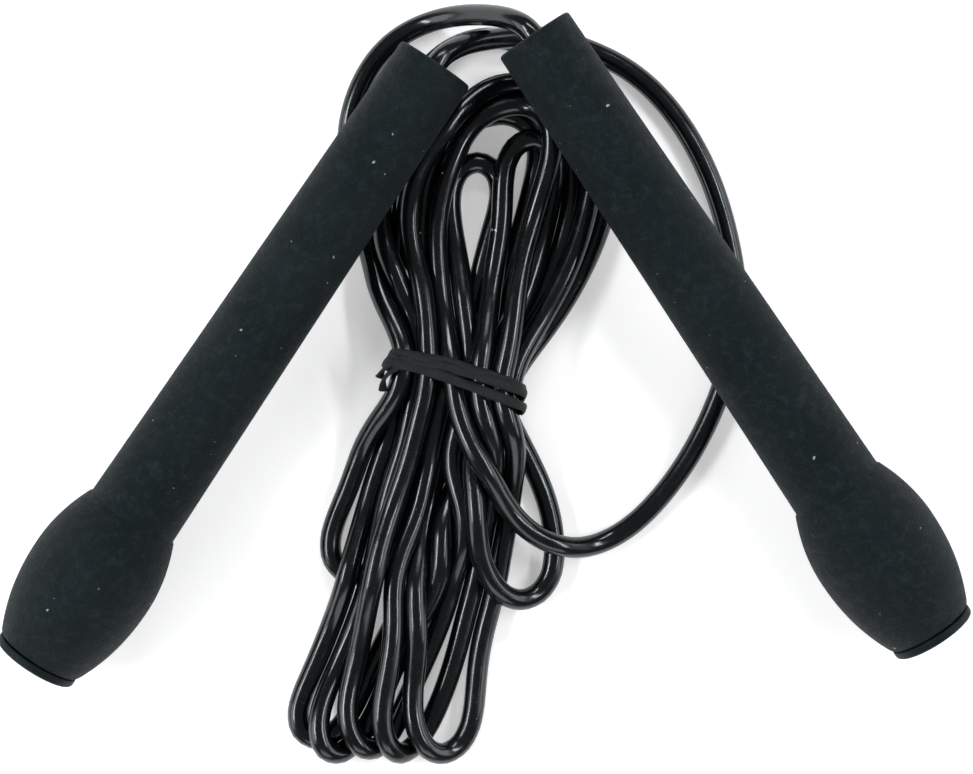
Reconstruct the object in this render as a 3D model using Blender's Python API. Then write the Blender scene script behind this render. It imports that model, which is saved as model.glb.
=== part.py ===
"""A speed rope: two hollow moulded handles that spin on the ends of one PVC rope, folded into a hank and tied.

Metres, +Z up. The rope lies on the plane z = 0, the handles lean on the hank with their noses towards +Y and
rest on their bulbs, and the origin is the middle of the handles' footprint.
"""

import math

import bmesh
import bpy
from mathutils import Matrix, Vector

CLEARANCE = 0.0003

# Rope
ROPE_RADIUS = 0.0027
ROPE_POINT_SPACING = 3.6 * ROPE_RADIUS
ROPE_SIDE_RESOLUTION = 3
CURVE_DIVISIONS = 24

# Handle, measured along its axis from the nose face towards the butt
HANDLE_STEPS = 40
SHELL_LENGTH = 0.1754
NOSE_RADIUS = 0.0100
NOSE_ROUNDING = 0.0009
NOSE_WALL = 0.0040
NOSE_BORE_RADIUS = 0.0032
CORE_RADIUS_AT_NOSE = 0.0076
CORE_RADIUS_AT_BUTT = 0.0086
NECK_START = 0.1340
NECK_RADIUS = 0.0118
BULB_RADIUS = 0.0162
BULB_WIDEST = 0.1520
BULB_SHOULDER = 0.0003
BULB_SWELL_POWER = 2.0
BULB_FALL_POWER = 2.2
BULB_FIRST_RING = 0.0006
BULB_RINGS = 13
GRIP_WIDENING_POWER = 1.15
GRIP_RINGS = (0.030, 0.060, 0.090, 0.115)
BUTT_RADIUS = 0.0112
BUTT_LIP = 0.0006
BUTT_LIP_RISE = 0.0002

# Where the handles lie: nose centre in plan, angle from the Y axis, lean below the horizontal
LEFT_NOSE = (-0.0118, 0.0706)
RIGHT_NOSE = (0.0119, 0.0773)
SPLAY = math.radians(34.1)
LEFT_LEAN = math.radians(3.0)
RIGHT_LEAN = math.radians(4.1)

# End cap
CAP_SEAM = 0.0006
CAP_RIM_RADIUS = 0.0109
CAP_THICKNESS = 0.0022
CAP_EDGE_ROUNDING = 0.0009
CAP_FLAT_RADIUS = 0.0075
CAP_DISH = 0.0004
SPIGOT_RADIUS = 0.0078
SPIGOT_WALL = 0.0014
SPIGOT_LENGTH = 0.0130
SPIGOT_BEAD = 0.0004
SPIGOT_BEAD_HALF_WIDTH = 0.0008
SPIGOT_BEAD_FROM_END = 0.0030
SPIGOT_LEAD_IN = (0.0003, 0.0006)
CAP_RIM_ROUNDING = 0.0004
CAP_WEB = 0.0010

# Washer and crimped ferrule that stop the rope inside the nose
WASHER_RADIUS = 0.0062
WASHER_THICKNESS = 0.0010
WASHER_EDGE = 0.0002
WASHER_STEPS = 28
FERRULE_RADIUS = 0.0044
FERRULE_LENGTH = 0.0090
FERRULE_CHAMFER = 0.0004
CRIMP_DEPTH = 0.0006
CRIMP_WIDTH = 0.0012
CRIMP_PLACES = (0.3, 0.7)
FERRULE_STEPS = 24
ROPE_STUB = 0.0020

# Hank and its tie
HANK_HEIGHT = 0.0096
HANK_EDGE_ROUNDING = 0.0020
HANK_OUTLINE_SPACING = 0.0055
TIE_CENTRE = (-0.0073, -0.0073)
TIE_TURN = math.radians(-10.0)
TIE_WIDTH = 0.0060
TIE_WALL = 0.0014
NECK_BLOCK_WIDTH = 0.0326
NECK_BLOCK_TOP = 0.0152
NECK_BLOCK_REACH = 0.0090
NECK_BLOCK_ROUNDING = 0.0030
KNOT_RADIUS = 0.0026
KNOT_HEIGHT_SHARE = 0.62

# Routes of the rope where it isn't coiled, chosen by hand in metres
LEFT_LEAD_ROUTE = [
    (-0.0045, 0.0769, 0.0214),
    (-0.0003, 0.0782, 0.0188),
    (0.0051, 0.0788, 0.0159),
    (0.0120, 0.0788, 0.0134),
    (0.0190, 0.0776, 0.0110),
    (0.0260, 0.0752, 0.0080),
    (0.0321, 0.0718, 0.0050),
    (0.0375, 0.0676, 0.0032),
    (0.0427, 0.0622, 0.0029),
    (0.0479, 0.0552, 0.0029),
    (0.0527, 0.0468, 0.0029),
    (0.0569, 0.0372, 0.0029),
    (0.0603, 0.0272, 0.0029),
    (0.0621, 0.0172, 0.0029),
    (0.0625, 0.0067, 0.0029),
    (0.0611, -0.0038, 0.0029),
    (0.0579, -0.0138, 0.0029),
    (0.0531, -0.0233, 0.0029),
    (0.0469, -0.0323, 0.0029),
    (0.0399, -0.0400, 0.0029),
    (0.0323, -0.0454, 0.0044),
    (0.0250, -0.0480, 0.0072),
    (0.0177, -0.0482, 0.0094),
    (0.0107, -0.0452, 0.0122),
    (0.0051, -0.0396, 0.0128),
    (0.0011, -0.0323, 0.0127),
    (-0.0021, -0.0243, 0.0127),
    (-0.0040, -0.0187, 0.0127),
]
RIGHT_LEAD_ROUTE = [
    (0.0075, 0.0818, 0.0262),
    (0.0035, 0.0830, 0.0226),
    (-0.0007, 0.0837, 0.0176),
    (-0.0053, 0.0841, 0.0122),
    (-0.0103, 0.0836, 0.0078),
    (-0.0155, 0.0814, 0.0046),
    (-0.0207, 0.0776, 0.0030),
    (-0.0253, 0.0718, 0.0029),
    (-0.0291, 0.0648, 0.0029),
    (-0.0316, 0.0567, 0.0029),
    (-0.0325, 0.0487, 0.0029),
    (-0.0317, 0.0407, 0.0029),
    (-0.0299, 0.0332, 0.0029),
    (-0.0287, 0.0277, 0.0029),
]
TOP_LOOP_ROUTE = [
    (0.0337, 0.0452, 0.0029),
    (0.0335, 0.0532, 0.0029),
    (0.0313, 0.0608, 0.0029),
    (0.0271, 0.0678, 0.0029),
    (0.0209, 0.0736, 0.0029),
    (0.0129, 0.0774, 0.0029),
    (0.0045, 0.0788, 0.0029),
    (-0.0039, 0.0782, 0.0029),
    (-0.0113, 0.0754, 0.0029),
    (-0.0175, 0.0706, 0.0029),
    (-0.0221, 0.0638, 0.0029),
    (-0.0253, 0.0560, 0.0029),
    (-0.0265, 0.0502, 0.0029),
]
LEFT_LOOP_ROUTE = [
    (-0.0267, -0.0204, 0.0029),
    (-0.0303, -0.0258, 0.0029),
    (-0.0339, -0.0328, 0.0029),
    (-0.0369, -0.0400, 0.0029),
    (-0.0381, -0.0468, 0.0029),
    (-0.0381, -0.0522, 0.0029),
]
RIGHT_LOOP_ROUTE = [
    (0.0094, -0.0192, 0.0029),
    (0.0129, -0.0260, 0.0029),
    (0.0157, -0.0334, 0.0029),
    (0.0175, -0.0418, 0.0029),
    (0.0179, -0.0498, 0.0029),
    (0.0165, -0.0558, 0.0029),
    (0.0127, -0.0598, 0.0029),
    (0.0081, -0.0604, 0.0029),
    (0.0053, -0.0582, 0.0029),
]

# Outlines of the two halves of the hank in plan, from one side of the tie to the other
UPPER_HANK_OUTLINE = [
    (-0.0231, 0.0002),
    (-0.0243, 0.0092),
    (-0.0251, 0.0192),
    (-0.0255, 0.0282),
    (-0.0251, 0.0372),
    (-0.0235, 0.0457),
    (-0.0199, 0.0537),
    (-0.0143, 0.0604),
    (-0.0070, 0.0650),
    (0.0015, 0.0668),
    (0.0103, 0.0664),
    (0.0185, 0.0634),
    (0.0251, 0.0578),
    (0.0293, 0.0502),
    (0.0305, 0.0412),
    (0.0293, 0.0320),
    (0.0261, 0.0227),
    (0.0209, 0.0132),
    (0.0155, 0.0042),
    (0.0099, -0.0052),
]
LOWER_HANK_OUTLINE = [
    (0.0065, -0.0156),
    (0.0055, -0.0218),
    (0.0041, -0.0308),
    (0.0031, -0.0418),
    (0.0023, -0.0538),
    (0.0011, -0.0668),
    (0.0001, -0.0778),
    (-0.0021, -0.0888),
    (-0.0065, -0.0972),
    (-0.0131, -0.1018),
    (-0.0205, -0.1028),
    (-0.0285, -0.1024),
    (-0.0365, -0.1022),
    (-0.0425, -0.0988),
    (-0.0449, -0.0918),
    (-0.0441, -0.0838),
    (-0.0409, -0.0728),
    (-0.0373, -0.0608),
    (-0.0337, -0.0488),
    (-0.0301, -0.0368),
    (-0.0245, -0.0248),
    (-0.0217, -0.0138),
]


def clear_scene():
    for leftover in list(bpy.data.objects):
        bpy.data.objects.remove(leftover, do_unlink=True)


def make_material(name, colour, roughness, metallic=0.0):
    material = bpy.data.materials.new(name)
    material.use_nodes = True
    shader = material.node_tree.nodes["Principled BSDF"]
    shader.inputs["Base Color"].default_value = (*colour, 1.0)
    shader.inputs["Roughness"].default_value = roughness
    shader.inputs["Metallic"].default_value = metallic
    return material


def add_object(name, data, material=None, parent=None):
    thing = bpy.data.objects.new(name, data)
    bpy.context.scene.collection.objects.link(thing)
    if material is not None:
        data.materials.append(material)
    thing.parent = parent
    return thing


# Curves and outlines


def point_on_curve(before, start, end, after, t):
    """A Catmull-Rom curve's point between start and end."""
    square, cube = t * t, t * t * t
    return 0.5 * (
        2 * start
        + (end - before) * t
        + (2 * before - 5 * start + 4 * end - after) * square
        + (3 * start - before - 3 * end + after) * cube
    )


def smooth_route(route, spacing):
    """Points about one spacing apart on the smooth curve through the route."""
    knots = [Vector(point) for point in route]
    fine = []
    for index in range(len(knots) - 1):
        before = knots[max(index - 1, 0)]
        after = knots[min(index + 2, len(knots) - 1)]
        for step in range(CURVE_DIVISIONS):
            fine.append(point_on_curve(before, knots[index], knots[index + 1], after, step / CURVE_DIVISIONS))
    fine.append(knots[-1])
    travelled = [0.0]
    for start, end in zip(fine, fine[1:]):
        travelled.append(travelled[-1] + (end - start).length)
    pieces = max(2, round(travelled[-1] / spacing))
    points = []
    index = 0
    for piece in range(pieces + 1):
        wanted = travelled[-1] * piece / pieces
        while index < len(fine) - 2 and travelled[index + 1] < wanted:
            index += 1
        span = travelled[index + 1] - travelled[index]
        points.append(fine[index].lerp(fine[index + 1], min((wanted - travelled[index]) / span, 1.0)))
    return points


def arc(centre_r, centre_z, radius, first_degrees, last_degrees, segments):
    """Points (r, z) along a round stretch of a turned profile."""
    points = []
    for step in range(segments + 1):
        angle = math.radians(first_degrees + (last_degrees - first_degrees) * step / segments)
        points.append((centre_r + radius * math.cos(angle), centre_z + radius * math.sin(angle)))
    return points


def turned(name, profile, material, parent, steps=HANDLE_STEPS):
    """A solid of revolution about the parent's Z axis; the closed profile runs down its outer side."""
    mesh = bpy.data.meshes.new(name)
    edges = [(index, (index + 1) % len(profile)) for index in range(len(profile))]
    mesh.from_pydata([(radius, 0.0, height) for radius, height in profile], edges, [])
    piece = add_object(name, mesh, material, parent)
    screw = piece.modifiers.new("turn", "SCREW")
    screw.steps = steps
    screw.render_steps = steps
    screw.use_smooth_shade = True
    screw.use_merge_vertices = True
    screw.merge_threshold = 0.00001
    return piece


def rope_tube(name, points, material):
    curve = bpy.data.curves.new(name, "CURVE")
    curve.dimensions = "3D"
    curve.bevel_depth = ROPE_RADIUS
    curve.bevel_resolution = ROPE_SIDE_RESOLUTION
    curve.use_fill_caps = True
    spline = curve.splines.new("POLY")
    spline.points.add(len(points) - 1)
    for place, point in zip(spline.points, points):
        place.co = (*point, 1.0)
    return add_object(name, curve, material)


def extruded(name, outline, bottom, top, material):
    """A plate of this outline, counter-clockwise or not, between two heights."""
    shape = bmesh.new()
    floor = shape.faces.new([shape.verts.new((x, y, bottom)) for x, y in outline])
    grown = bmesh.ops.extrude_face_region(shape, geom=[floor])["geom"]
    lifted = [item for item in grown if isinstance(item, bmesh.types.BMVert)]
    bmesh.ops.translate(shape, verts=lifted, vec=(0.0, 0.0, top - bottom))
    bmesh.ops.recalc_face_normals(shape, faces=shape.faces)
    mesh = bpy.data.meshes.new(name)
    shape.to_mesh(mesh)
    shape.free()
    return add_object(name, mesh, material)


def rounded(piece, width, segments):
    bevel = piece.modifiers.new("round_edges", "BEVEL")
    bevel.width = width
    bevel.segments = segments
    bevel.limit_method = "ANGLE"
    bevel.angle_limit = math.radians(50.0)
    return piece


def joined(piece, addition):
    """A live union with a helper, which is left out of the model itself."""
    addition.hide_render = True
    addition.display_type = "WIRE"
    union = piece.modifiers.new("join_" + addition.name, "BOOLEAN")
    union.operation = "UNION"
    union.solver = "EXACT"
    union.object = addition
    return piece


# Handles


def bulb_radius(along):
    """Outer radius of the bulb at a distance from the nose face: a swell from the neck, then a rounded fall."""
    if along <= BULB_WIDEST:
        part = (BULB_WIDEST - along) / (BULB_WIDEST - NECK_START)
        shoulder = NECK_RADIUS + BULB_SHOULDER
        return shoulder + (BULB_RADIUS - shoulder) * (1.0 - part**BULB_SWELL_POWER)
    part = (along - BULB_WIDEST) / (SHELL_LENGTH - BULB_WIDEST)
    return BULB_RADIUS - (BULB_RADIUS - BUTT_RADIUS) * part**BULB_FALL_POWER


def shaft_radius(along):
    """Outer radius of the slowly widening grip."""
    part = along / NECK_START
    return NOSE_RADIUS + (NECK_RADIUS - NOSE_RADIUS) * part**GRIP_WIDENING_POWER


def shell_profile():
    """(r, z) of the hollow shell, from the bore's mouth down the outside and back up the inside."""
    profile = [(NOSE_BORE_RADIUS, -NOSE_ROUNDING / 3), (NOSE_BORE_RADIUS + NOSE_ROUNDING / 3, 0.0)]
    profile += arc(NOSE_RADIUS - NOSE_ROUNDING, -NOSE_ROUNDING, NOSE_ROUNDING, 90, 0, 3)
    profile += [(shaft_radius(along), -along) for along in (*GRIP_RINGS, NECK_START)]
    first = NECK_START + BULB_FIRST_RING
    for ring in range(BULB_RINGS):
        along = first + (SHELL_LENGTH - first) * ring / (BULB_RINGS - 1)
        profile.append((bulb_radius(along), -along))
    profile += [
        (BUTT_RADIUS - BUTT_LIP, -SHELL_LENGTH - BUTT_LIP_RISE),
        (CORE_RADIUS_AT_BUTT, -SHELL_LENGTH),
        (CORE_RADIUS_AT_NOSE, -NOSE_WALL),
        (NOSE_BORE_RADIUS, -NOSE_WALL),
    ]
    return profile


def nose_height(lean):
    """Height of the nose's centre that lets the bulb just touch the plane z = 0."""
    samples = [SHELL_LENGTH * step / 400 for step in range(401)]
    bulb = [along for along in samples if along > NECK_START]
    return max(bulb_radius(along) * math.cos(lean) + along * math.sin(lean) for along in bulb)


def handle_axis(side, nose, turn, lean):
    """An empty at the nose's centre whose Z axis runs out of the nose along the handle."""
    outwards = Vector((math.sin(turn) * math.cos(lean), math.cos(turn) * math.cos(lean), math.sin(lean)))
    sideways = outwards.cross(Vector((0.0, 0.0, 1.0))).normalized()
    frame = Matrix((sideways, outwards.cross(sideways), outwards)).transposed()
    empty = add_object(side + "_handle_axis", None)
    empty.location = (*nose, nose_height(lean))
    empty.rotation_euler = frame.to_euler()
    return empty


def on_axis(axis, along):
    """World point at a distance out of the nose, negative inside the handle."""
    return Vector(axis.location) + axis.rotation_euler.to_matrix() @ Vector((0.0, 0.0, along))


def handle_shell(side, axis, material):
    return turned(side + "_handle_shell", shell_profile(), material, axis)


def end_cap(side, axis, material):
    """Push-in plug: a rounded disc, and a hollow spigot with one bead inside the bore."""
    outer = -(SHELL_LENGTH + CAP_SEAM + CAP_THICKNESS)
    under = -(SHELL_LENGTH + CAP_SEAM)
    inner_end = -(SHELL_LENGTH - SPIGOT_LENGTH)
    bead = inner_end - SPIGOT_BEAD_FROM_END
    lead_in, lead_in_length = SPIGOT_LEAD_IN
    profile = [
        (SPIGOT_RADIUS - SPIGOT_WALL, inner_end),
        (SPIGOT_RADIUS - lead_in, inner_end),
        (SPIGOT_RADIUS, inner_end - lead_in_length),
        (SPIGOT_RADIUS, bead + SPIGOT_BEAD_HALF_WIDTH),
        (SPIGOT_RADIUS + SPIGOT_BEAD, bead),
        (SPIGOT_RADIUS, bead - SPIGOT_BEAD_HALF_WIDTH),
        (SPIGOT_RADIUS, under),
    ]
    profile += arc(CAP_RIM_RADIUS - CAP_RIM_ROUNDING, under - CAP_RIM_ROUNDING, CAP_RIM_ROUNDING, 90, 0, 2)
    profile += arc(CAP_RIM_RADIUS - CAP_EDGE_ROUNDING, outer + CAP_EDGE_ROUNDING, CAP_EDGE_ROUNDING, 0, -90, 3)
    profile += [
        (CAP_FLAT_RADIUS, outer + CAP_DISH),
        (0.0, outer + CAP_DISH),
        (0.0, under + CAP_WEB / 2),
        (SPIGOT_RADIUS - SPIGOT_WALL, under + CAP_WEB),
    ]
    return turned(side + "_end_cap", profile, material, axis)


def stop_washer(side, axis, material):
    top = -(NOSE_WALL + CLEARANCE)
    bottom = top - WASHER_THICKNESS
    hole = ROPE_RADIUS + CLEARANCE
    profile = [
        (hole, top),
        (WASHER_RADIUS - WASHER_EDGE, top),
        (WASHER_RADIUS, top - WASHER_EDGE),
        (WASHER_RADIUS, bottom + WASHER_EDGE),
        (WASHER_RADIUS - WASHER_EDGE, bottom),
        (hole, bottom),
    ]
    return turned(side + "_stop_washer", profile, material, axis, steps=WASHER_STEPS)


def crimp_ferrule(side, axis, material):
    """A sleeve squeezed in two rings onto the rope's end."""
    top = -(NOSE_WALL + WASHER_THICKNESS + 2 * CLEARANCE)
    bottom = top - FERRULE_LENGTH
    hole = ROPE_RADIUS + CLEARANCE
    profile = [(hole, top), (FERRULE_RADIUS - FERRULE_CHAMFER, top), (FERRULE_RADIUS, top - FERRULE_CHAMFER)]
    for share in CRIMP_PLACES:
        middle = top - share * FERRULE_LENGTH
        profile += [
            (FERRULE_RADIUS, middle + CRIMP_WIDTH),
            (FERRULE_RADIUS - CRIMP_DEPTH, middle + CRIMP_WIDTH / 2),
            (FERRULE_RADIUS - CRIMP_DEPTH, middle - CRIMP_WIDTH / 2),
            (FERRULE_RADIUS, middle - CRIMP_WIDTH),
        ]
    profile += [
        (FERRULE_RADIUS, bottom + FERRULE_CHAMFER),
        (FERRULE_RADIUS - FERRULE_CHAMFER, bottom),
        (hole, bottom),
    ]
    return turned(side + "_crimp_ferrule", profile, material, axis, steps=FERRULE_STEPS)


# Rope


def rope_lead(name, axis, route, material):
    """The rope from its stopped end inside the handle, straight through the nose, then along its route."""
    inside = NOSE_WALL + WASHER_THICKNESS + 2 * CLEARANCE + FERRULE_LENGTH + ROPE_STUB
    mouth = on_axis(axis, CLEARANCE)
    straight = [on_axis(axis, -inside), on_axis(axis, -inside / 2), mouth]
    bend = smooth_route([mouth, on_axis(axis, ROPE_RADIUS)] + route, ROPE_POINT_SPACING)
    return rope_tube(name, straight + bend[1:], material)


def smooth_outline(outline):
    return [(point.x, point.y) for point in smooth_route([(x, y, 0.0) for x, y in outline], HANK_OUTLINE_SPACING)]


def neck_block(name, from_tie, to_tie, material):
    """The squeezed waist of the hank beside the tie, raised so that the tie passes under it."""
    half = NECK_BLOCK_WIDTH / 2
    bottom = TIE_WALL + CLEARANCE
    outline = [(-half, from_tie), (half, from_tie), (half, to_tie), (-half, to_tie)]
    block = extruded(name, outline, bottom, NECK_BLOCK_TOP, material)
    rounding = block.modifiers.new("round_sides", "BEVEL")
    rounding.width = NECK_BLOCK_ROUNDING
    rounding.segments = 3
    rounding.limit_method = "WEIGHT"
    weights = block.data.attributes.new("bevel_weight_edge", "FLOAT", "EDGE")
    for edge in block.data.edges:
        first, second = (block.data.vertices[index].co for index in edge.vertices)
        runs_along_rope = abs(first.x - second.x) < CLEARANCE and abs(first.z - second.z) < CLEARANCE
        weights.data[edge.index].value = 1.0 if runs_along_rope else 0.0
    return block


def hank_half(name, outline, direction, tie_axis, material):
    """One fan of folded turns as a plate with rounded edges, joined to its half of the waist."""
    plate = extruded(name, smooth_outline(outline), CLEARANCE / 3, HANK_HEIGHT, material)
    rounded(plate, HANK_EDGE_ROUNDING, 2)
    near, far = sorted((direction * CLEARANCE / 2, direction * NECK_BLOCK_REACH))
    block = neck_block(name + "_waist", near, far, material)
    block.parent = tie_axis
    return joined(plate, block)


def stadium(half_width, low, high, rounding, segments=3):
    """A rectangle with round corners, as (x, z) points."""
    points = []
    corners = (
        (half_width - rounding, high - rounding, 0),
        (rounding - half_width, high - rounding, 90),
        (rounding - half_width, low + rounding, 180),
        (half_width - rounding, low + rounding, 270),
    )
    for x, z, first in corners:
        points += arc(x, z, rounding, first, first + 90, segments)
    return points


def bundle_tie(tie_axis, material):
    """A flat band round the waist, with the twisted knot as a lump on its left side."""
    half = NECK_BLOCK_WIDTH / 2 + CLEARANCE
    inner = stadium(half, TIE_WALL, NECK_BLOCK_TOP + CLEARANCE, NECK_BLOCK_ROUNDING)
    outer = stadium(half + TIE_WALL, 0.0, NECK_BLOCK_TOP + CLEARANCE + TIE_WALL, NECK_BLOCK_ROUNDING + TIE_WALL)
    shape = bmesh.new()
    rings = []
    for points in (outer, inner):
        for y in (-TIE_WIDTH / 2, TIE_WIDTH / 2):
            rings.append([shape.verts.new((x, y, z)) for x, z in points])
    outer_front, outer_back, inner_front, inner_back = rings
    count = len(outer_front)
    for first, second in (
        (outer_front, outer_back),
        (outer_back, inner_back),
        (inner_back, inner_front),
        (inner_front, outer_front),
    ):
        for index in range(count):
            following = (index + 1) % count
            shape.faces.new((first[index], first[following], second[following], second[index]))
    bmesh.ops.recalc_face_normals(shape, faces=shape.faces)
    mesh = bpy.data.meshes.new("bundle_tie")
    shape.to_mesh(mesh)
    shape.free()
    band = add_object("bundle_tie", mesh, material, tie_axis)
    knot_shape = bmesh.new()
    bmesh.ops.create_icosphere(knot_shape, subdivisions=2, radius=KNOT_RADIUS)
    knot_mesh = bpy.data.meshes.new("tie_knot")
    knot_shape.to_mesh(knot_mesh)
    knot_shape.free()
    knot = add_object("tie_knot", knot_mesh, material, tie_axis)
    knot.location = (-(half + KNOT_RADIUS), 0.0, KNOT_HEIGHT_SHARE * NECK_BLOCK_TOP)
    return joined(band, knot)


def build():
    clear_scene()
    grip = make_material("black_matt_moulding", (0.021, 0.024, 0.026), 0.72)
    plug = make_material("black_smooth_moulding", (0.018, 0.020, 0.022), 0.58)
    pvc = make_material("black_gloss_pvc", (0.006, 0.007, 0.008), 0.18)
    band = make_material("black_tie", (0.014, 0.015, 0.017), 0.66)
    steel = make_material("zinc_steel", (0.55, 0.56, 0.57), 0.35, 1.0)

    left_axis = handle_axis("left", LEFT_NOSE, SPLAY, LEFT_LEAN)
    right_axis = handle_axis("right", RIGHT_NOSE, -SPLAY, RIGHT_LEAN)
    for side, axis in (("left", left_axis), ("right", right_axis)):
        handle_shell(side, axis, grip)
        end_cap(side, axis, plug)
        stop_washer(side, axis, steel)
        crimp_ferrule(side, axis, steel)

    rope_lead("rope_left_lead", left_axis, LEFT_LEAD_ROUTE, pvc)
    rope_lead("rope_right_lead", right_axis, RIGHT_LEAD_ROUTE, pvc)
    for name, route in (
        ("rope_top_loop", TOP_LOOP_ROUTE),
        ("rope_left_loop", LEFT_LOOP_ROUTE),
        ("rope_right_loop", RIGHT_LOOP_ROUTE),
    ):
        rope_tube(name, smooth_route(route, ROPE_POINT_SPACING), pvc)

    tie_axis = add_object("tie_axis", None)
    tie_axis.location = (*TIE_CENTRE, 0.0)
    tie_axis.rotation_euler = (0.0, 0.0, TIE_TURN)
    hank_half("rope_upper_hank", UPPER_HANK_OUTLINE, 1, tie_axis, pvc)
    hank_half("rope_lower_hank", LOWER_HANK_OUTLINE, -1, tie_axis, pvc)
    bundle_tie(tie_axis, band)


build()
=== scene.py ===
"""A speed rope folded into a hank: two matt black handles lie across its head, and one gloss black rope runs
from nose to nose through sixteen passes of the tie. Metres; the rope is settled in millimetres."""

import math

import bpy
import numpy as np
from mathutils import Matrix, Vector


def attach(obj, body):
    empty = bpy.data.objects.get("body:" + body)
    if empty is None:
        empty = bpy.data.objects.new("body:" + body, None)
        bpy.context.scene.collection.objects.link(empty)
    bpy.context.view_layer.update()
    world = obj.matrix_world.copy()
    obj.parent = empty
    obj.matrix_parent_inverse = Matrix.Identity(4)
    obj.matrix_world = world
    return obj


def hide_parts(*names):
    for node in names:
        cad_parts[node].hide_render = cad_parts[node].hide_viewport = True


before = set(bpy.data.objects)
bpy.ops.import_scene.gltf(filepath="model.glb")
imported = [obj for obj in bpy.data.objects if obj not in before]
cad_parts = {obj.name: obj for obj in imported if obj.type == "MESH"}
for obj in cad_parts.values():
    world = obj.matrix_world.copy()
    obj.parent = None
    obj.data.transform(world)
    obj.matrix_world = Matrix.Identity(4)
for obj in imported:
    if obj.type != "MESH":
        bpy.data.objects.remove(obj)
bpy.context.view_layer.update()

MM = 0.001

CAMERA_LENS = 94.87
CAMERA_PLACE = (0.0005, -0.00838, 0.650)

# The rope
ROPE_RADIUS = 2.7
ROPE_STEP = 2.4
ROPE_SIDES = 20
ROPE_RING_SPACING = 1.7
INSIDE_HANDLE = 16.6
STRAIGHT_OUT = 2.0
SETTLE_ROUNDS = 300
TOUCHING_SPARE = 0.12
FLOOR_SPARE = 0.05
ROUTE_PULL = (0.016, 0.016, 0.004)
ROUTE_PULL_LOST = 0.85
BENDS_A_ROUND = 5
BEND_SHARE = 0.45
WEIGHT = 0.02
PUSH_SHARE = 0.35
NEXT_ALONG = 5
PAIR_REACH = 3.0
EASING_ROUNDS = 60
EASING_SHARE = 0.5

# The handles, along the axis from the nose face
NOSE_RADIUS = 10.0
NECK_RADIUS = 11.8
NECK_START = 134.0
BULB_RADIUS = 16.2
BULB_WIDEST = 152.0
BUTT_RADIUS = 11.2
SHELL_LENGTH = 175.4
HANDLE_STEPS = 112
HANDLES = {
    "left": {"nose": (-11.8, 70.6, 24.240), "splay": 34.1, "lean": 3.0},
    "right": {"nose": (11.9, 77.3, 27.216), "splay": -34.1, "lean": 4.1},
}

# The tie round the waist of the hank
TIE_CENTRE = (-7.3, -7.3)
TIE_TURN = -10.0
WAIST_HALF_WIDTH = 16.6
WAIST_TOP = 17.0
TIE_UNDER = 1.6
WINDING_WIDTH = 2.6
TAIL_WIDTH = 2.2
RIBBON_THICKNESS = 1.0
RIBBON_SIDES = 14
RIBBON_ROCKING = 0.28

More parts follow.
